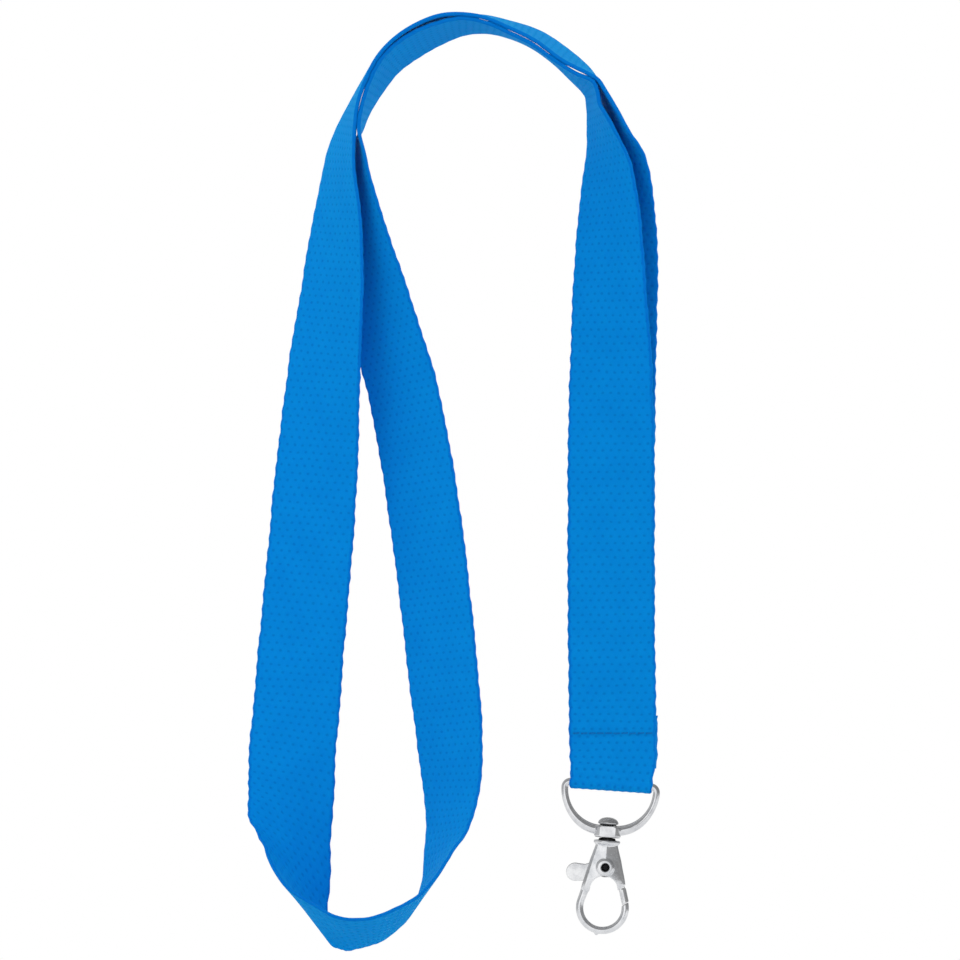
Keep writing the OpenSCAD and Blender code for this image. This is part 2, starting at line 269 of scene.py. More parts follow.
weaveSpec = {
    "wander": 0.0009,           # how far the rows stray along the strap
    "wanderScale": 240.0,
    "selvedge": (0.0009, 0.0002),
    "filamentPitch": 0.00025,
    "filamentStretch": (1.0, 0.12, 1.0),
    "fluffScale": 7000.0,
}


# Staggered pits between the weft ribs, lengthwise filaments and rolled selvedges.
def makeWeaveGroup():
    group, given, out = newGroup(
        "webbingWeave",
        [("Flat Place", "Vector"), ("Pit Across", "Float"), ("Pit Along", "Float"), ("Half Width", "Float")],
        [("Pits", "Float"), ("Selvedge", "Float"), ("Filaments", "Float"), ("Relief", "Float")])
    split = group.nodes.new("ShaderNodeSeparateXYZ")
    group.links.new(given["Flat Place"], split.inputs[0])
    across, along = split.outputs[0], split.outputs[1]
    drift = noiseNode(group, given["Flat Place"], weaveSpec["wanderScale"], 1.0)
    wobble = mathNode(group, "MULTIPLY", mathNode(group, "SUBTRACT", drift, 0.5), weaveSpec["wander"])
    along = mathNode(group, "ADD", along, wobble)
    rows = mathNode(group, "DIVIDE", along, given["Pit Along"])
    columns = mathNode(group, "DIVIDE", across, given["Pit Across"])
    rowTurn = mathNode(group, "MULTIPLY", rows, 2 * math.pi)
    pitTurn = mathNode(group, "MULTIPLY", columns, 2 * math.pi)
    checker = mathNode(group, "MULTIPLY", mathNode(group, "COSINE", rowTurn),
                       mathNode(group, "COSINE", pitTurn))
    ribTurn = mathNode(group, "MULTIPLY", rowTurn, 2.0)
    ribs = mathNode(group, "MULTIPLY", mathNode(group, "COSINE", ribTurn), -1.0)
    hollow = mathNode(group, "MULTIPLY_ADD", ribs, 0.45, mathNode(group, "MULTIPLY", checker, 0.55))
    group.links.new(rangeNode(group, hollow, -0.35, -0.95), out["Pits"])
    fromEdge = mathNode(group, "SUBTRACT", given["Half Width"], mathNode(group, "ABSOLUTE", across))
    group.links.new(rangeNode(group, fromEdge, *weaveSpec["selvedge"]), out["Selvedge"])
    stretched = group.nodes.new("ShaderNodeVectorMath")
    stretched.operation = "MULTIPLY"
    group.links.new(given["Flat Place"], stretched.inputs[0])
    stretched.inputs[1].default_value = weaveSpec["filamentStretch"]
    fluff = noiseNode(group, stretched.outputs[0], weaveSpec["fluffScale"], 2.0, 0.6)
    strandTurn = mathNode(group, "MULTIPLY", across, 2 * math.pi / weaveSpec["filamentPitch"])
    strands = mathNode(group, "SINE", strandTurn)
    filaments = mathNode(group, "ADD", mathNode(group, "MULTIPLY", strands, 0.18), fluff)
    group.links.new(filaments, out["Filaments"])
    height = mathNode(group, "MULTIPLY_ADD", ribs, 0.28, mathNode(group, "MULTIPLY", checker, 0.55))
    group.links.new(mathNode(group, "MULTIPLY_ADD", filaments, 0.35, height), out["Relief"])
    return group


# Plated metal: cloudy polish, fine handling scratches and a faint cast ripple.
def makePlatingGroup():
    group, given, out = newGroup(
        "platedSkin", [("Place", "Vector"), ("Cloud Scale", "Float"), ("Scratch Scale", "Float")],
        [("Cloud", "Float"), ("Scratches", "Float"), ("Ripple", "Float"), ("Dust", "Float")])
    group.links.new(noiseNode(group, given["Place"], given["Cloud Scale"], 3.0, 0.55), out["Cloud"])
    turned = group.nodes.new("ShaderNodeMapping")
    turned.inputs["Rotation"].default_value = (0.3, 0.9, 0.5)
    turned.inputs["Scale"].default_value = (1.0, 0.07, 1.0)
    group.links.new(given["Place"], turned.inputs["Vector"])
    lines = noiseNode(group, turned.outputs[0], given["Scratch Scale"], 3.0, 0.7)
    group.links.new(rangeNode(group, lines, 0.62, 0.72), out["Scratches"])
    group.links.new(noiseNode(group, given["Place"], 900.0, 2.0, 0.5), out["Ripple"])
    group.links.new(rangeNode(group, noiseNode(group, given["Place"], 5200.0, 1.0), 0.66, 0.74), out["Dust"])
    return group


weaveGroup = makeWeaveGroup()
platingGroup = makePlatingGroup()

wovenFinish = {
    "blue": (0.0006, 0.235, 0.66, 1),
    "pitShadeAndFibreBlue": (0.0004, 0.15, 0.50, 1),
    "selvedgeBlue": (0.0004, 0.135, 0.52, 1),
    "lightBlue": (0.0012, 0.27, 0.71, 1),
    "roughness": 0.78,
    "specular": 0.03,
    "scatter": 0.45,
    "scatterTint": (0.2, 0.75, 1.0),
    "scatterReach": 0.0012,
    "bump": (0.55, 0.00007),
}


def makeWovenPolyester():
    material, tree, skin = newMaterial("wovenPolyester")
    flat = tree.nodes.new("ShaderNodeUVMap")
    flat.uv_map = "flat"
    weave = placeGroup(tree, weaveGroup, **{
        "Flat Place": flat.outputs[0], "Half Width": strapSpec["width"] / 2,
        "Pit Across": strapSpec["pitAcross"], "Pit Along": strapSpec["pitAlong"]})
    tone = rangeNode(tree, noiseNode(tree, flat.outputs[0], 130.0, 3.0), 0.3, 0.7)
    strands = rangeNode(tree, weave["Filaments"], 0.25, 0.9)
    color = wovenFinish["blue"]
    # The pits get a painted shade; the fibre lines and the blotchy tone are the yarn's own colour; the
    # selvedges are darker towards the edges.
    for mask, share, shade in ((tone, 0.35, "lightBlue"), (strands, 0.22, "pitShadeAndFibreBlue"),
                               (weave["Pits"], 0.55, "pitShadeAndFibreBlue"), (weave["Selvedge"], 0.7, "selvedgeBlue")):
        color = mixColor(tree, mathNode(tree, "MULTIPLY", mask, share), color, wovenFinish[shade])
    tree.links.new(color, skin["Base Color"])
    rough = mathNode(tree, "MULTIPLY_ADD", weave["Pits"], 0.12, wovenFinish["roughness"])
    tree.links.new(rough, skin["Roughness"])
    skin["Specular IOR Level"].default_value = wovenFinish["specular"]
    skin["Subsurface Weight"].default_value = wovenFinish["scatter"]
    skin["Subsurface Radius"].default_value = wovenFinish["scatterTint"]
    skin["Subsurface Scale"].default_value = wovenFinish["scatterReach"]
    addBump(tree, weave["Relief"], skin["Normal"], *wovenFinish["bump"])
    return material


threadFinish = {"blue": (0.0006, 0.19, 0.56, 1), "shade": (0.0004, 0.13, 0.42, 1), "roughness": 0.7}


def makeSewingThread():
    material, tree, skin = newMaterial("sewingThread")
    place = tree.nodes.new("ShaderNodeTexCoord").outputs["Object"]
    fibre = noiseNode(tree, place, 9000.0, 2.0)
    color = mixColor(tree, rangeNode(tree, fibre, 0.35, 0.65), threadFinish["blue"], threadFinish["shade"])
    tree.links.new(color, skin["Base Color"])
    tree.links.new(rangeNode(tree, fibre, 0.2, 0.8, threadFinish["roughness"], 0.9), skin["Roughness"])
    skin["Specular IOR Level"].default_value = 0.15
    addBump(tree, fibre, skin["Normal"], 0.5, 0.00004)
    return material


# Near black, painted into gaps, holes and under heads as shade.
paintedShadeColor = (0.02, 0.021, 0.024, 1)
metalFinishes = {
    "polishedNickel": {"bright": (0.84, 0.85, 0.87, 1), "dull": (0.66, 0.67, 0.7, 1),
                       "smooth": 0.1, "rough": 0.24, "ripple": 0.00001},
    "platedCasting": {"bright": (0.86, 0.87, 0.89, 1), "dull": (0.66, 0.68, 0.71, 1),
                      "smooth": 0.13, "rough": 0.3, "ripple": 0.00002},
    "platedLever": {"bright": (0.88, 0.89, 0.9, 1), "dull": (0.7, 0.71, 0.74, 1),
                    "smooth": 0.15, "rough": 0.3, "ripple": 0.000015},
    "peenedSteel": {"bright": (0.62, 0.63, 0.65, 1), "dull": (0.42, 0.43, 0.45, 1),
                    "smooth": 0.2, "rough": 0.38, "ripple": 0.00003},
    "pinSteel": {"bright": (0.4, 0.41, 0.43, 1), "dull": (0.24, 0.24, 0.26, 1),
                 "smooth": 0.28, "rough": 0.45, "ripple": 0.00002},
    "springSteel": {"bright": (0.5, 0.5, 0.5, 1), "dull": (0.32, 0.32, 0.33, 1),
                    "smooth": 0.25, "rough": 0.4, "ripple": 0.00001},
}


def makeMetal(name):
    finish = metalFinishes[name]
    material, tree, skin = newMaterial(name)
    place = tree.nodes.new("ShaderNodeTexCoord").outputs["Object"]
    plating = placeGroup(tree, platingGroup,
                         **{"Place": place, "Cloud Scale": 420.0, "Scratch Scale": 5200.0})
    color = mixColor(tree, rangeNode(tree, plating["Cloud"], 0.35, 0.75), finish["bright"], finish["dull"])
    color = mixColor(tree, mathNode(tree, "MULTIPLY", plating["Dust"], 0.18), color, finish["dull"])
    # Painted shade: the recess mask darkens gaps, holes and hidden faces towards near black, patchy with the
    # cloud, and roughens them.
    recess = tree.nodes.new("ShaderNodeAttribute")
    recess.attribute_name = "recess"
    patchy = rangeNode(tree, plating["Cloud"], 0.2, 0.8, 1.0, 0.8)
    paintedShade = mathNode(tree, "MULTIPLY", recess.outputs["Fac"], patchy, clamp=True)
    color = mixColor(tree, paintedShade, color, paintedShadeColor)
    tree.links.new(color, skin["Base Color"])
    rough = rangeNode(tree, plating["Cloud"], 0.3, 0.8, finish["smooth"], finish["rough"])
    rough = mathNode(tree, "MULTIPLY_ADD", plating["Scratches"], 0.1, rough)
    rough = mathNode(tree, "MULTIPLY_ADD", paintedShade, 0.4, rough, clamp=True)
    tree.links.new(rough, skin["Roughness"])
    skin["Metallic"].default_value = 1.0
    height = mathNode(tree, "MULTIPLY_ADD", plating["Scratches"], -0.12, plating["Ripple"])
    addBump(tree, height, skin["Normal"], 0.6, finish["ripple"])
    return material


# The strap: laid out flat, then bent along the way it hangs

strapSpec = {
    "width": 0.020,
    "thickness": 0.0008,
    "ringPinch": 0.0005,      # how far each side gives way inside the ring
    "pinchReach": 0.003,
    "pinchFade": 0.003,
    "columns": 42,
    "rowStep": 0.00082,
    "bendStep": 0.00041,      # finer rows round the bar
    "bendReach": 0.004,
    "lookAhead": 0.0007,
    "pitAcross": 0.02 / 10.5,
    "pitAlong": 0.00328,
    "pitDepth": 0.00005,
    "ribHeight": 0.00003,
    "weaveMargin": 0.0004,    # the selvedge stays flat over this much
    "weaveFade": 0.0008,
    "edgeFrom": 0.0075,
    "edgeBand": 0.0025,
    "edgeWave": 0.00011,
    "edgeRipples": ((0.0191, 0.00005, 0.4), (0.0113, 0.00004, 2.1), (0.0067, 0.00003, 5.0)),
    "rimTuck": -0.00018,
    "archFoot": -0.0255,
    "archFade": 0.003,
    "middleHalf": (0.5, 0.1),  # half of the web's thickness, and what the arch adds to it
    "rimHalf": (0.31, 0.12),
    "seamPress": 0.00014,
    "seamDip": 0.0005,
    "seamReach": 0.0112,
}

# Stations: x, y, z, roll of the width about the route, slant of the creases.
# Up the back of the right leg, over the arch on the outside, down the left strand.
outerRun = [
    (0.0312, 0.00195, -0.1688, 0, 0), (0.0313, 0.001, -0.1608, 0, 0), (0.0311, 0.00095, -0.1565, 0, 0),
    (0.0308, 0.00055, -0.15, 0, 0), (0.0307, 0.00042, -0.1394, 0, 0), (0.0307, 0.00042, -0.121, 0, 0),
    (0.0307, 0.0006, -0.1026, 2, 0), (0.0309, 0.002, -0.0842, 6, 0), (0.0313, 0.0027, -0.0704, 12, 0),
    (0.0321, 0.0029, -0.0554, 21, 0), (0.0325, 0.0025, -0.0414, 33, 0), (0.0327, 0.0017, -0.0345, 43, 0),
    (0.0325, 0.0011, -0.029, 52, 0), (0.03135, 0.0005, -0.024, 64, 0), (0.03066, 0.0002, -0.0185, 80, 0),
    (0.02875, 0, -0.0134, 87, 0), (0.0274, 0, -0.0106, 90, 0), (0.02517, 0, -0.0085, 94.3, 0),
    (0.0202, 0, -0.0051, 99, 0), (0.0137, 0, -0.00059, 98, 0), (0.00692, 0, 0.00216, 95, 0),
    (0.00029, 0, 0.00409, 91.5, 0), (-0.00757, 0, 0.0039, 88, 0), (-0.013, 0, 0.00218, 88, 0),
    (-0.0184, 0, -0.001, 88.5, 0), (-0.02289, 0, -0.00518, 90.3, 0), (-0.02619, 0, -0.0109, 92, 0),
    (-0.02849, 0, -0.01613, 95.3, 0), (-0.03019, 0, -0.02157, 101.8, 0), (-0.03137, 0, -0.02674, 107.8, 0),
    (-0.0319, 0, -0.0315, 111.7, 0), (-0.0323, 0, -0.0416, 123, 0), (-0.033, 0, -0.0524, 132, 0),
    (-0.034, 0, -0.0639, 139, 0), (-0.0352, 0, -0.075, 146, 0), (-0.0359, 0, -0.0842, 151, 0),
    (-0.0366, 0, -0.0934, 157, 0), (-0.0373, 0, -0.1026, 163, 0), (-0.0388, 0, -0.121, 168, 0),
    (-0.0405, 0, -0.1394, 171, 0), (-0.0416, 0, -0.1532, 175, 0), (-0.0427, 0, -0.1658, 181, 0.1),
    (-0.0431, 0, -0.1762, 189, 0.3),
]
# The soft fold at the lower left, the low bend, and the turn up again.
lowBend = [
    (-0.0434, -0.0003, -0.1831, 198, 0.5), (-0.0431, -0.0012, -0.1888, 212, 0.7),
    (-0.0426, -0.0028, -0.1939, 232, 0.85), (-0.0414, -0.005, -0.1983, 256, 0.85),
    (-0.0391, -0.0072, -0.2017, 276, 0.75), (-0.0354, -0.0088, -0.2044, 288, 0.55),
    (-0.0306, -0.0094, -0.2063, 291, 0.3), (-0.0246, -0.009, -0.2061, 289, 0.1),
    (-0.0196, -0.0076, -0.2041, 285, -0.1), (-0.0152, -0.006, -0.201, 277, -0.2),
    (-0.012, -0.0044, -0.1971, 269, -0.3), (-0.0099, -0.0032, -0.193, 261, -0.3),
]
# Up the right strand, back over the arch on the inside, down the front of the right leg.
innerRun = [
    (-0.0084, -0.0023, -0.1884, 252, -0.2), (-0.0069, -0.0014, -0.1831, 242, -0.1),
    (-0.0062, -0.0007, -0.1766, 233, 0), (-0.0061, -0.0003, -0.1693, 225, 0), (-0.0068, 0, -0.1589, 219, 0),
    (-0.0081, 0, -0.1463, 216, 0), (-0.0098, 0, -0.1302, 215, 0), (-0.0121, 0, -0.1118, 214, 0),
    (-0.015, 0, -0.0934, 215, 0), (-0.0179, 0, -0.0796, 216, 0), (-0.022, 0, -0.0658, 219, 0),
    (-0.0245, 0, -0.0566, 223, 0), (-0.0267, 0, -0.0474, 231, 0), (-0.0277, 0, -0.0393, 241, 0),
    (-0.0281, 0, -0.0331, 250, 0), (-0.0278, 0, -0.0271, 260, 0), (-0.0272, 0, -0.02228, 271, 0),
    (-0.02628, 0, -0.0183, 274.6, 0), (-0.02491, 0, -0.01485, 277.6, 0), (-0.02298, 0, -0.01105, 280.8, 0),
    (-0.0201, 0, -0.00679, 283.5, 0), (-0.01477, 0, -0.00258, 284.8, 0), (-0.00887, 0, 0.00027, 282.7, 0),
    (-0.0033, 0, 0.00185, 279.5, 0), (0.0023, 0, 0.00143, 274.6, 0), (0.00702, 0, -0.00011, 271.4, 0),
    (0.0122, 0, -0.00248, 270.4, 0), (0.01745, 0, -0.0062, 270.3, 0), (0.0222, 0, -0.00989, 274.1, 0),
    (0.02538, 0, -0.01207, 278.7, 0), (0.0262, 0, -0.01366, 277.5, 0), (0.0267, 0, -0.01675, 278, 0),
    (0.0277, 0, -0.02025, 284, 0), (0.02885, 0, -0.02485, 291.6, 0), (0.0297, -0.0002, -0.0301, 302, 0),
    (0.03, -0.0005, -0.0359, 309, 0), (0.0302, -0.0009, -0.0428, 316, 0), (0.0302, -0.0012, -0.052, 323, 0),
    (0.0303, -0.0013, -0.0626, 330, 0), (0.0306, -0.001, -0.0745, 339, 0), (0.0306, -0.0008, -0.0842, 346, 0),
    (0.0306, -0.00065, -0.0934, 353, 0), (0.0306, -0.00055, -0.1072, 359, 0),
    (0.0306, -0.00055, -0.1302, 360, 0), (0.0309, -0.00075, -0.1509, 360, 0),
]
loose = outerRun + lowBend + innerRun

barDir = Vector((math.cos(hardwareTilt), 0, -math.sin(hardwareTilt)))
axisDir = Vector((math.sin(hardwareTilt), 0, math.cos(hardwareTilt)))
wrapRadius = 0.00125
tuckedPlace = (0.0001, 0.0007)
seamSpec = {"height": 11.7, "aside": 0.35, "stitches": 10, "pitch": 1.86, "threadRadius": 0.2,
            "front": -1.2, "back": 1.45}
seamMiddle = barPlace + Vector((seamSpec["aside"], 0, seamSpec["height"])) * mm
seamFrame = Matrix.Translation(seamMiddle) @ Matrix.Scale(mm, 4)


def besideBar(y, z):
    return (*(barPlace + Vector((0, y, 0)) + z * axisDir), 360, 0)


def seamPlace(y, aside=0.00035, rise=0.0):
    return (*(barPlace + Vector((aside, y, seamSpec["height"] * mm + rise))), 360, 0)


# Down to the bar, round it, and up behind as the tucked end.
turnRun = [seamPlace(-0.00075), besideBar(-0.00112, 0.005), besideBar(-wrapRadius, 0.0012)]
turnRun += [besideBar(-wrapRadius * math.cos(math.radians(a)), -wrapRadius * math.sin(math.radians(a)))
            for a in range(0, 181, 30)]
turnRun += [besideBar(wrapRadius, 0.0012), besideBar(0.00092, 0.005),
            seamPlace(*tuckedPlace), seamPlace(*tuckedPlace, rise=0.004)]


def mixStations(a, b, fromTurn, toTurn, t):
    return ((toTurn - t) * a + (t - fromTurn) * b) / (toTurn - fromTurn)


# A smooth line through the stations, finely sampled, with its running length.
def walkRoute(stations):
    route = [np.array(s, float) for s in stations]
    route = [2 * route[0] - route[1]] + route + [2 * route[-1] - route[-2]]
    line = []
    for p, q, r, s in zip(route, route[1:], route[2:], route[3:]):
        gaps = [math.sqrt(max(float(np.linalg.norm(b[:3] - a[:3])), 0.00001))
                for a, b in ((p, q), (q, r), (r, s))]
        k1, k2, k3 = gaps[0], gaps[0] + gaps[1], sum(gaps)
        steps = max(2, math.ceil(float(np.linalg.norm(r[:3] - q[:3])) / 0.0004))
        for i in range(steps):
            t = k1 + (k2 - k1) * i / steps
            a, b, c = (mixStations(*step, t) for step in ((p, q, 0, k1), (q, r, k1, k2), (r, s, k2, k3)))
            line.append(mixStations(mixStations(a, b, 0, k2, t), mixStations(b, c, k1, k3, t), k1, k2, t))
    line = np.array(line + [route[-2]])
    lengths = np.concatenate([[0], np.cumsum(np.linalg.norm(np.diff(line[:, :3], axis=0), axis=1))])
    return line, lengths


def unitRows(a):
    return a / np.linalg.norm(a, axis=1)[:, None]


def bendStrap(mesh, line, lengths, rowPlaces):
    count = len(mesh.vertices)
    flat = np.zeros(count * 3)
    mesh.vertices.foreach_get("co", flat)
    flat = flat.reshape(-1, 3)
    across, row, up = flat[:, 0], np.rint(flat[:, 1]).astype(int), np.sign(flat[:, 2])
    places = np.array(rowPlaces)[row]
    s = strapSpec
    half, thick = s["width"] / 2, s["thickness"]

    # The piece's own flat map, in metres. The back is shifted half a repeat, so that its pits
    # Sit between those of the front.
    corners = np.zeros(len(mesh.loops), int)
    mesh.loops.foreach_get("vertex_index", corners)
    faceUp = np.zeros(len(mesh.polygons) * 3)
    mesh.polygons.foreach_get("normal", faceUp)
    loopFace = np.repeat(np.arange(len(mesh.polygons)), [p.loop_total for p in mesh.polygons])
    under = (faceUp.reshape(-1, 3)[:, 2] < -0.5)[loopFace]
    flatMap = np.stack([across[corners], places[corners] + under * s["pitAlong"] / 2], axis=1)
    mesh.uv_layers.new(name="flat").data.foreach_set("uv", flatMap.ravel())

    # Weave: the whole web rises and dips with the crossing yarns, flat at the selvedges
    rowTurn = 2 * np.pi * places / s["pitAlong"]
    pitTurn = 2 * np.pi * across / s["pitAcross"]
    inner = np.clip((half - s["weaveMargin"] - np.abs(across)) / s["weaveFade"], 0, 1)
    lift = s["pitDepth"] * inner * np.cos(rowTurn) * np.cos(pitTurn)
    plump = s["ribHeight"] * inner * (-np.cos(2 * rowTurn) - 0.5)
    edge = np.clip((np.abs(across) - s["edgeFrom"]) / s["edgeBand"], 0, 1)
    wave = s["edgeWave"] * np.cos(rowTurn + np.where(across > 0, 0.0, 1.9))
    for pitch, size, turn in s["edgeRipples"]:
        wave = wave + size * np.sin(2 * np.pi * places / pitch + turn + np.where(across > 0, 0.0, 2.6))
    rim = np.abs(across) > half - 0.0001
    out = np.where(rim & (up != 0), s["rimTuck"], 0.0)
    across = across + np.sign(across) * (edge * wave + out)

    # Bend along the route; over the arch the web plumps up until its two layers touch
    at = np.stack([np.interp(places, lengths, line[:, k]) for k in range(5)], axis=1)
    arch = np.clip((at[:, 2] - s["archFoot"]) / s["archFade"], 0, 1)
    thin, full = (base + more * arch for base, more in (s["rimHalf"], s["middleHalf"]))
    through = up * np.where(rim, thin, full) * thick + lift + up * plump
    after, before = places + s["lookAhead"], places - s["lookAhead"]
    ahead = unitRows(np.stack([np.interp(after, lengths, line[:, k]) - np.interp(before, lengths, line[:, k])
                               for k in range(3)], axis=1))
    steep = np.hypot(ahead[:, 0], ahead[:, 2]) < 0.35
    level = np.stack([ahead[:, 2], 0 * up, -ahead[:, 0]], axis=1)
    level = unitRows(np.where(steep[:, None], np.array([[1.0, 0, 0]]), level))
    roll = np.radians(at[:, 3])
    side = np.cos(roll)[:, None] * level + np.sin(roll)[:, None] * np.cross(level, ahead)
    side = np.where(steep[:, None], -np.array(barDir)[None, :], side)
    face = np.cross(side, ahead)
    fromBar = np.linalg.norm(at[:, :3] - np.array(barPlace), axis=1)
    near = np.clip(1 - np.clip(fromBar - s["pinchReach"], 0, 1) / s["pinchFade"], 0, 1)
    narrow = (half - s["ringPinch"] * near) / half
    sideways = (across * narrow)[:, None] * (side + at[:, 4][:, None] * ahead)
    where = at[:, :3] + sideways + through[:, None] * face

    # The stitches pull the outer layers in along the seam
    fromSeam = where - np.array(seamFrame.translation)
    nearSeam = np.exp(-(fromSeam[:, 2] / s["seamDip"]) ** 2) * (np.abs(fromSeam[:, 0]) < s["seamReach"])
    pull = s["seamPress"] * nearSeam
    where[:, 1] += np.where(where[:, 1] < -0.0009, pull, 0) - np.where(where[:, 1] > 0.0011, pull, 0)
    mesh.vertices.foreach_set("co", where.ravel())
    mesh.update()


def makeStrap():
    line, lengths = walkRoute(loose + turnRun)
    s = strapSpec
    total = float(lengths[-1])
    rowPlaces = [0.0]
    while rowPlaces[-1] < total - s["bendStep"]:
        here = np.array([np.interp(rowPlaces[-1], lengths, line[:, k]) for k in range(3)])
        nearBar = np.linalg.norm(here - np.array(barPlace)) < s["bendReach"]
        rowPlaces.append(rowPlaces[-1] + (s["bendStep"] if nearBar else s["rowStep"]))
    rowPlaces[-1] = total
    rows = len(rowPlaces) - 1
    bm = bmesh.new()
    bmesh.ops.create_grid(bm, x_segments=s["columns"], y_segments=rows, size=1.0)
    low = min(v.co.y for v in bm.verts)
    for v in bm.verts:
        v.co = Vector((v.co.x * s["width"] / 2, (v.co.y - low) / 2 * rows, 0))
    bmesh.ops.solidify(bm, geom=bm.faces[:], thickness=1.0)
    middle = sum(v.co.z for v in bm.verts) / len(bm.verts)
    bmesh.ops.translate(bm, vec=(0, 0, -middle), verts=bm.verts)
    walls = [e for e in bm.edges if abs(e.verts[0].co.z - e.verts[1].co.z) > 0.5]
    bmesh.ops.subdivide_edges(bm, edges=walls, cuts=1, use_grid_fill=True)
    for v in bm.verts:
        v.co.z = 0 if abs(v.co.z) < 0.1 else v.co.z
    bmesh.ops.recalc_face_normals(bm, faces=bm.faces)
    strap = looseObject("wovenStrap", bm)
    bendStrap(strap.data, line, lengths, rowPlaces)
    strap.data.materials.append(makeWovenPolyester())
    strap.data.shade_smooth()
    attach(strap, "lanyard")
    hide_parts("webbing_strap")
    strap.visible_glossy = False
    print("made wovenStrap", len(strap.data.polygons), "faces, strap length", round(total, 4))


makeStrap()


# The two threads of the seam

def seamThread(name, face, deep, node):
    s = seamSpec
    outward = -1 if face < 0 else 1
    places, steps = [], 16
    for i in range(s["stitches"]):
        start = (i - s["stitches"] / 2) * s["pitch"]
        lean, rise = random.uniform(0.02, 0.14), random.uniform(-0.05, 0.05)
        for k in range(steps):
            t = (k + 0.5) / steps
            bow = abs(2 * t - 1)
            x = start + s["pitch"] * (0.08 + 0.84 * (0.5 - 0.5 * math.copysign(bow ** 0.7, 1 - 2 * t)))
            y = face + (deep - face) * bow ** 5 + outward * 0.06 * (1 - bow ** 2)
            places.append(Vector((x, y, rise + lean * (t - 0.5))))
    bm = bmesh.new()
    sweepWire(bm, places, [s["threadRadius"]] * len(places), Vector((0, 0, 1)), 12, lobes=0.3, twist=0.42)
    finishPiece(name, toPlace(bm, seamFrame), "lanyard", [node], sewingThread)


sewingThread = makeSewingThread()
seamThread("needleThread", seamSpec["front"], -0.2, "needle_thread")
seamThread("bobbinThread", seamSpec["back"], 0.4, "bobbin_thread")


# The ring: a straight bar, tight shoulders, legs that thicken into the swivel eye

ringSpec = {
    "wireRadius": 0.8, "footRadius": 1.16, "halfWidth": 10.55, "shoulder": 1.3, "legRadius": 9.0,
    "eyeRadius": 3.05, "eyeFlat": 2.4, "eyeTop": -9.65, "eyeFoot": -12.35, "bore": 1.32,
    "voxel": 0.085, "softening": 12,
}


def makeRing():
    s = ringSpec
    half = []
    for degree in range(88, 0, -4):
        grow = smoothStep(18, 80, degree) * (s["footRadius"] - s["wireRadius"])
        a, radius = math.radians(degree), s["legRadius"] + grow
        half.append((s["halfWidth"] - s["legRadius"] + radius * math.cos(a),
                     -s["shoulder"] - radius * math.sin(a), s["wireRadius"] + grow))
    for degree in range(0, 91, 10):
        a = math.radians(degree)
        half.append((s["halfWidth"] - s["shoulder"] * (1 - math.cos(a)),
                     -s["shoulder"] * (1 - math.sin(a)), s["wireRadius"]))
    right = [(Vector((x, 0, z)), r) for x, z, r in half]
    left = [(Vector((-x, 0, z)), r) for x, z, r in half]
    middle = [(Vector((x, 0, 0)), s["wireRadius"]) for x in (6, 3, 0, -3, -6)]
    whole = right + middle + left[::-1]
    bm = bmesh.new()
    sweepWire(bm, [p for p, r in whole], [r for p, r in whole], Vector((0, 1, 0)), 32)
    eye = bmesh.new()
    top, foot, rim = s["eyeTop"], s["eyeFoot"], s["eyeRadius"]
    turnSolid(eye, [(s["bore"], top), (rim - 0.3, top), (rim, top - 0.3), (rim, foot + 0.3),
                    (rim - 0.3, foot), (s["bore"], foot)], 64, closed=True)
    for way in (-1, 1):
        everything = eye.verts[:] + eye.edges[:] + eye.faces[:]
        bmesh.ops.bisect_plane(eye, geom=everything, plane_co=(0, way * s["eyeFlat"], 0),
                               plane_no=(0, way, 0), clear_outer=True)
        closeHoles(eye)
    pourInto(bm, eye)
    cast = castTogether(bm, [], s["voxel"], s["softening"])
    # Painted shade on the foot of the eye and inside its bore.
    markRecess(cast, lambda co: max(1 - smoothStep(s["eyeFoot"] + 0.02, s["eyeFoot"] + 0.25, co.z),
                                    1 - smoothStep(1.4, 1.6, math.hypot(co.x, co.y)) if co.z < -9 else 0))
    finishPiece("swivelRing", toPlace(cast), "ring", ["d_ring"],
                makeMetal("polishedNickel"))


makeRing()


# The rivet: a peened head on the eye and a stem sunk in the hook

rivetSpec = {"stem": 1.24, "neck": 1.88, "headRadius": 2.38, "stemFoot": -14.9, "neckFoot": -9.57,
             "headFoot": -9.24, "headTop": -7.68}


def makeRivet():
    s = rivetSpec
    bm = bmesh.new()
    outline = [(0, s["stemFoot"]), (s["stem"] - 0.15, s["stemFoot"]), (s["stem"], s["stemFoot"] + 0.15),
               (s["stem"], s["neckFoot"] - 0.02), (s["neck"], s["neckFoot"]),
               (s["neck"], s["headFoot"] - 0.05), (s["headRadius"] - 0.18, s["headFoot"]),
               (s["headRadius"], s["headFoot"] + 0.14)]
    tall = s["headTop"] - s["headFoot"]
    for degree in (14, 24, 34, 44, 54, 64, 74):
        a = math.radians(degree)
        outline.append((s["headRadius"] * math.cos(a) ** 0.9,
                        s["headFoot"] + 0.1 + (tall - 0.1) * math.sin(a)))
    outline += [(0.34, s["headTop"]), (0.2, s["headTop"] - 0.06), (0, s["headTop"] - 0.08)]
    turnSolid(bm, outline, 48)
    # Painted shade on the stem and the neck under the head.
    markRecess(bm, lambda co: 0.8 if co.z < s["headFoot"] - 0.01 else 0)
    finishPiece("swivelRivet", toPlace(bm), "hook", ["swivel_rivet"],
                makeMetal("peenedSteel"))


makeRivet()


# The hook: one casting with a creased face, a bossed pin hole, a slot and a round bow

hookSpec = {
    "bowRadius": 5.25, "bowDrop": -28.5, "wireRadius": 0.85, "eyeTopRadius": 3.2, "eyeTop": -24.4,
    "pinDrop": -19.2, "pinHole": 0.76, "mouth": 0.98, "bossRadius": 2.0, "slot": 1.6,
    "nose": (5.15, -27.3), "noseSlant": 35, "noseGap": 0.12, "voxel": 0.09, "softening": 9,
}
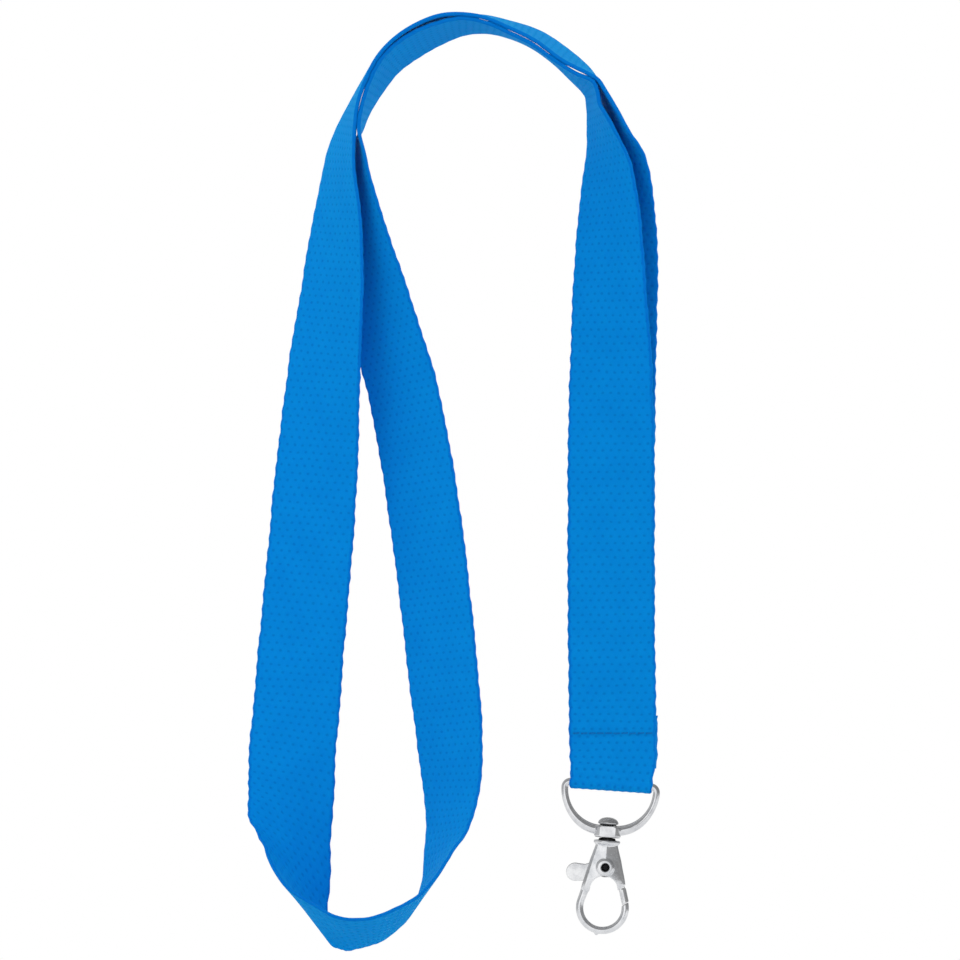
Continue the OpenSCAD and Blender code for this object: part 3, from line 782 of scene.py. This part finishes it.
# Height, left reach, right reach, depth on the crease, depth at the sides
hookRows = [
    (-13.5, 2.45, 2.45, 2.1, 1.5), (-14.15, 2.55, 2.55, 2.2, 1.5), (-15, 2.8, 2.8, 2.2, 1.45),
    (-16, 3.1, 3.1, 2.2, 1.4), (-17.4, 3.55, 3.55, 2.2, 1.35), (-19.2, 4, 4, 2.2, 1.35),
    (-21, 4.5, 4.5, 2.15, 1.3), (-22, 4.75, 4.75, 2.05, 1.28), (-23, 4.97, 4.95, 1.9, 1.22),
    (-23.7, 5.12, 4.1, 1.75, 1.15), (-24.3, 5.2, 3.4, 1.55, 1.05), (-25, 5.05, 2.6, 1.4, 0.9),
]
wedge = math.asin((hookSpec["bowRadius"] - hookSpec["wireRadius"] - hookSpec["eyeTopRadius"])
                  / (hookSpec["eyeTop"] - hookSpec["bowDrop"]))
noseLean = math.radians(hookSpec["noseSlant"])
noseWay = Vector((-math.sin(noseLean), 0, math.cos(noseLean)))
nosePlace = Vector((hookSpec["nose"][0], 0, hookSpec["nose"][1]))


# The frame of the pin hole: its z runs along the pin, to the back of the hook at -90 degrees.
def pinFrame(degrees=-90):
    return Matrix.Translation((0, 0, hookSpec["pinDrop"])) @ Matrix.Rotation(math.radians(degrees), 4, "X")


# Painted shade on the cut faces where the nose and the gate meet.
def noseGapShade(co):
    return 1 - smoothStep(0.02, 0.14, abs((co - nosePlace).dot(noseWay)))


# Trims a wire where the nose of the hook and the gate meet; way is 1 for the nose and -1 for the gate.
def trimAtNose(bm, way):
    at = nosePlace - noseWay * way * hookSpec["noseGap"] / 2
    near = [v for v in bm.verts if v.co.x > 2.5]
    edges = {e for v in near for e in v.link_edges}
    faces = {f for v in near for f in v.link_faces}
    bmesh.ops.bisect_plane(bm, geom=near + list(edges) + list(faces), plane_co=at,
                           plane_no=noseWay * way, clear_outer=True)
    closeHoles(bm)


def loftHookBody(bm):
    shell = bmesh.new()
    columns = 12
    bmesh.ops.create_grid(shell, x_segments=columns, y_segments=len(hookRows) - 1, size=1.0)
    low = min(v.co.y for v in shell.verts)
    for v in shell.verts:
        v.co.y = (v.co.y - low) / 2 * (len(hookRows) - 1)
    bmesh.ops.solidify(shell, geom=shell.faces[:], thickness=1.0)
    middle = sum(v.co.z for v in shell.verts) / len(shell.verts)
    for v in shell.verts:
        row, side = hookRows[round(v.co.y)], v.co.x
        way = 1 if v.co.z > middle else -1
        reach = row[1] if side < 0 else row[2]
        depth = row[3] + (row[4] - row[3]) * abs(side) ** 0.92
        depth -= 0.3 * smoothStep(0.82, 1.0, abs(side))
        v.co = Vector((side * reach, way * depth, row[0]))
    bmesh.ops.recalc_face_normals(shell, faces=shell.faces)
    pourInto(bm, shell)


def eggOutline():
    s = hookSpec
    outline = []
    for degree in range(0, 360, 6):
        upper = degree <= 180
        radius = s["eyeTopRadius"] if upper else s["bowRadius"] - s["wireRadius"]
        z = s["eyeTop"] if upper else s["bowDrop"]
        a = math.radians(degree)
        outline.append((radius * math.cos(a), z + radius * math.sin(a)))
    return outline


def makeHook():
    s = hookSpec
    bm = bmesh.new()
    # The bow: down the left arm, round, and up to the nose
    foot = Vector((-s["bowRadius"] * math.cos(wedge), 0, s["bowDrop"] + s["bowRadius"] * math.sin(wedge)))
    top = foot + 4.6 * Vector((math.sin(wedge), 0, math.cos(wedge)))
    places = [top.lerp(foot, t) for t in (0, 0.2, 0.4, 0.6, 0.8)]
    radii = [1.05, 1.02, 0.96, 0.9, 0.87]
    for degree in range(int(180 - math.degrees(wedge)), 386, 5):
        a = math.radians(degree)
        places.append(Vector((s["bowRadius"] * math.cos(a), 0, s["bowDrop"] + s["bowRadius"] * math.sin(a))))
        radii.append(s["wireRadius"])
    sweepWire(bm, places, radii, Vector((0, 1, 0)), 32)
    trimAtNose(bm, 1)
    nubDrop = s["bowDrop"] - s["bowRadius"] - s["wireRadius"] + 0.1
    bmesh.ops.create_uvsphere(bm, u_segments=16, v_segments=10, radius=0.45,
                              matrix=Matrix.Translation((-1, 0, nubDrop)))
    loftHookBody(bm)
    # Flange under the eye and the neck below it
    turnSolid(bm, [(0, -12.45), (1.75, -12.45), (1.9, -12.6), (1.95, -12.9), (2.85, -12.97),
                   (3.05, -13.12), (3.05, -13.55), (2.8, -13.85), (2.2, -14.15), (1.2, -14.9),
                   (0, -14.9)], 48)
    # The boss round the pin, on both faces
    boss = s["bossRadius"]
    turnSolid(bm, [(0, -2.38), (1.5, -2.38), (1.8, -2.3), (boss, -2.05), (boss + 0.15, -1.2),
                   (boss + 0.15, 1.2), (boss, 2.05), (1.8, 2.3), (1.5, 2.38), (0, 2.38)], 48,
              frameMatrix=pinFrame(90))
    eggCut, slotCut, holeCut = bmesh.new(), bmesh.new(), bmesh.new()
    platePiece(eggCut, eggOutline(), 8)
    platePiece(slotCut, [(-8, -15.4), (-3.6, -16), (0, -15.9), (1.8, -16.4), (3, -18.6), (8, -18.8),
                         (8, -26), (2, -26), (-1.2, -22.4), (-3.2, -23.05), (-8, -23.05)], s["slot"])
    turnSolid(holeCut, [(0, -4), (s["mouth"], -4), (s["mouth"], -2.1), (s["pinHole"], -1.75),
                        (s["pinHole"], 4), (0, 4)], 36, frameMatrix=pinFrame())
    cast = castTogether(bm, [eggCut, slotCut, holeCut], s["voxel"], s["softening"])

    # Painted shade under the eye, on the slot walls, in the pin hole and at the nose gap.
    def recessAt(co):
        hub = 1 - smoothStep(1.9, 2.3, math.hypot(co.x, co.y)) if co.z > -13.05 else 0
        walls = 1 - smoothStep(0.78, 0.9, abs(co.y)) if -23.1 < co.z < -15.3 else 0
        hole = 1 - smoothStep(0.95, 1.1, math.hypot(co.x, co.z - s["pinDrop"])) if abs(co.y) < 2.25 else 0
        cut = noseGapShade(co) if co.x > 4 and co.z < -25.5 else 0
        return max(hub, walls, hole, cut)

    markRecess(cast, recessAt)
    finishPiece("castHook", toPlace(cast), "hook", ["hook_body"],
                makeMetal("platedCasting"))


makeHook()


# The trigger: thumb tab, pivot and gate in one piece

triggerSpec = {"thickness": 1.4, "pivotRadius": 2.3, "tabReach": -6.8, "gateTop": (4.36, -24.2),
               "gateFoot": (5.62, -28.6), "voxel": 0.08, "softening": 7}


def makeTrigger():
    s, drop = triggerSpec, hookSpec["pinDrop"]
    bm = bmesh.new()
    top, foot = (Vector((x, 0, z)) for x, z in (s["gateTop"], s["gateFoot"]))
    places = [top.lerp(foot, i / 8) for i in range(9)]
    sweepWire(bm, places, [hookSpec["wireRadius"]] * 9, Vector((0, 1, 0)), 32)
    trimAtNose(bm, -1)
    bmesh.ops.create_uvsphere(bm, u_segments=24, v_segments=16, radius=hookSpec["wireRadius"],
                              matrix=Matrix.Translation(top))
    depth = s["thickness"]
    platePiece(bm, circleOutline(0, drop, s["pivotRadius"]), depth)
    platePiece(bm, [(-1, drop + 2), (-4.6, -18.75), (-6.9, -18.6), (-6.9, -22.75), (-5.4, -22.7),
                    (-3.6, -22.2), (-1.6, drop - 1.4)], depth)
    platePiece(bm, circleOutline(s["tabReach"], -20.7, 2.12), depth)
    platePiece(bm, [(1.5, drop + 1.6), (3.1, -19.4), (3.9, -21.2), (4.75, -23.3), (5.1, -24.7),
                    (3.75, -24.7), (3.3, -23.1), (1.7, -21.5), (-0.5, -21.3)], depth)
    holeCut, pocketCut = bmesh.new(), bmesh.new()
    turnSolid(holeCut, [(0, -4), (0.8, -4), (0.8, 4), (0, 4)], 36, frameMatrix=pinFrame())
    turnSolid(pocketCut, [(0, 0), (1.75, 0), (1.75, 4), (0, 4)], 36, frameMatrix=pinFrame())
    cast = castTogether(bm, [holeCut, pocketCut], s["voxel"], s["softening"])

    # Painted shade on the lever where it sits inside the slot, and at the nose gap.
    def recessAt(co):
        inside = 1 - smoothStep(3.0, 3.8, abs(co.x)) if co.z > -22.6 else 0
        cut = noseGapShade(co) if co.z < -25.5 else 0
        return max(0.75 * inside, cut)

    markRecess(cast, recessAt)
    finishPiece("triggerLever", toPlace(cast), "trigger", ["trigger_lever"],
                makeMetal("platedLever"))


makeTrigger()


# The pin and the closing spring

pinSpec = {"radius": 0.75, "front": -1.38, "back": 2.1}
springSpec = {"radius": 1.2, "wire": 0.16, "start": 0.2, "length": 0.34, "turns": 2.1, "steps": 80}


def makePin():
    s = pinSpec
    bm = bmesh.new()
    radius, front, back = s["radius"], s["front"], s["back"]
    turnSolid(bm, [(0, front), (radius - 0.2, front + 0.02), (radius, front + 0.16), (radius, back - 0.14),
                   (radius - 0.18, back), (0.22, back - 0.05), (0, back - 0.1)], 40, frameMatrix=pinFrame())
    # The whole pin is painted dark as shade in its hole.
    markRecess(bm, lambda co: 1.0)
    finishPiece("leverPin", toPlace(bm), "hook", ["lever_pin"], makeMetal("pinSteel"))


def makeSpring():
    s = springSpec
    bm = bmesh.new()
    places = []
    for i in range(s["steps"] + 1):
        a = 2 * math.pi * s["turns"] * i / s["steps"]
        places.append(Vector((s["radius"] * math.cos(a), s["start"] + s["length"] * i / s["steps"],
                              hookSpec["pinDrop"] + s["radius"] * math.sin(a))))
    sweepWire(bm, places, [s["wire"]] * len(places), Vector((0, 1, 0)), 12)
    finishPiece("leverSpring", toPlace(bm), "hook", ["lever_spring"],
                makeMetal("springSteel"))


makePin()
makeSpring()


# Floor, light and camera

stageSpec = {
    "floorDrop": -0.42, "floorRadius": 1.9,
    "eyeDistance": 4.0, "eyeHeight": -0.10258, "eyeSide": 0.00046, "lens": 652.17,
    "skyLight": 0.94, "panelWay": (-0.34, -0.93, -0.12),
    "lampAim": (0, 0, -0.1), "lampSize": 0.9,
    "keyPlace": (-0.9, -1.2, 0.7), "keyPower": 3.2,
    "fillPlace": (1.0, -1.1, 0.1), "fillPower": 1.6,
}


def makeFloor():
    bm = bmesh.new()
    bmesh.ops.create_circle(bm, cap_ends=True, segments=96, radius=stageSpec["floorRadius"],
                            matrix=Matrix.Translation((0, 0, stageSpec["floorDrop"])))
    floor = looseObject("paleFloor", bm)
    material, tree, skin = newMaterial("palePaper")
    place = tree.nodes.new("ShaderNodeTexCoord").outputs["Object"]
    grain = noiseNode(tree, place, 40.0, 3.0)
    tree.links.new(mixColor(tree, grain, (0.80, 0.80, 0.80, 1), (0.84, 0.84, 0.84, 1)), skin["Base Color"])
    skin["Roughness"].default_value = 0.9
    floor.data.materials.append(material)


def softBox(name, place, power):
    data = bpy.data.lights.new(name, "AREA")
    data.shape, data.size, data.energy = "DISK", stageSpec["lampSize"], power
    lamp = bpy.data.objects.new(name, data)
    bpy.context.scene.collection.objects.link(lamp)
    lamp.location = place
    lamp.visible_glossy = False
    aim = Vector(stageSpec["lampAim"]) - Vector(place)
    lamp.rotation_euler = aim.to_track_quat("-Z", "Y").to_euler()


# A white room: plain white to look at, an even glow on cloth, and darker walls to mirror in metal.
def makeRoom():
    world = bpy.data.worlds.new("whiteRoom")
    world.use_nodes = True
    bpy.context.scene.world = world
    tree = world.node_tree
    glow = tree.nodes["Background"]
    glow.inputs["Color"].default_value = (1, 1, 1, 1)
    glow.inputs["Strength"].default_value = stageSpec["skyLight"]
    seen = tree.nodes.new("ShaderNodeBackground")
    seen.inputs["Color"].default_value = (1, 1, 1, 1)
    mirrored = tree.nodes.new("ShaderNodeBackground")
    way = tree.nodes.new("ShaderNodeTexCoord").outputs["Generated"]
    split = tree.nodes.new("ShaderNodeSeparateXYZ")
    tree.links.new(way, split.inputs[0])
    panel = tree.nodes.new("ShaderNodeVectorMath")
    panel.operation = "DOT_PRODUCT"
    tree.links.new(way, panel.inputs[0])
    panel.inputs[1].default_value = Vector(stageSpec["panelWay"]).normalized()
    panelEdge = panel.outputs["Value"]
    front = rangeNode(tree, panelEdge, 0.80, 0.92)
    band = rangeNode(tree, panelEdge, 0.45, 0.78, 1.0, 0.6)
    back = rangeNode(tree, split.outputs[1], 0.5, 0.95, 0.0, 0.55)
    wall = mathNode(tree, "MULTIPLY_ADD", split.outputs[2], -0.13, 0.42)
    wall = mathNode(tree, "MULTIPLY_ADD", split.outputs[0], -0.16, wall)
    wall = mathNode(tree, "MAXIMUM", mathNode(tree, "MULTIPLY", wall, band), back)
    bright = mathNode(tree, "MAXIMUM", front, wall)
    tree.links.new(bright, mirrored.inputs["Color"])
    path = tree.nodes.new("ShaderNodeLightPath")
    inner, outer = tree.nodes.new("ShaderNodeMixShader"), tree.nodes.new("ShaderNodeMixShader")
    tree.links.new(path.outputs["Is Glossy Ray"], inner.inputs[0])
    tree.links.new(glow.outputs[0], inner.inputs[1])
    tree.links.new(mirrored.outputs[0], inner.inputs[2])
    tree.links.new(path.outputs["Is Camera Ray"], outer.inputs[0])
    tree.links.new(inner.outputs[0], outer.inputs[1])
    tree.links.new(seen.outputs[0], outer.inputs[2])
    tree.links.new(outer.outputs[0], tree.nodes["World Output"].inputs["Surface"])


def makeCamera():
    data = bpy.data.cameras.new("frontCamera")
    data.lens, data.sensor_width = stageSpec["lens"], 36
    camera = bpy.data.objects.new("frontCamera", data)
    bpy.context.scene.collection.objects.link(camera)
    camera.location = (stageSpec["eyeSide"], -stageSpec["eyeDistance"], stageSpec["eyeHeight"])
    camera.rotation_euler = (math.radians(90), 0, 0)
    bpy.context.scene.camera = camera


makeFloor()
makeRoom()
softBox("keyLight", stageSpec["keyPlace"], stageSpec["keyPower"])
softBox("fillLight", stageSpec["fillPlace"], stageSpec["fillPower"])
makeCamera()
bpy.context.scene.view_settings.view_transform = "Standard"
print("stage ready")
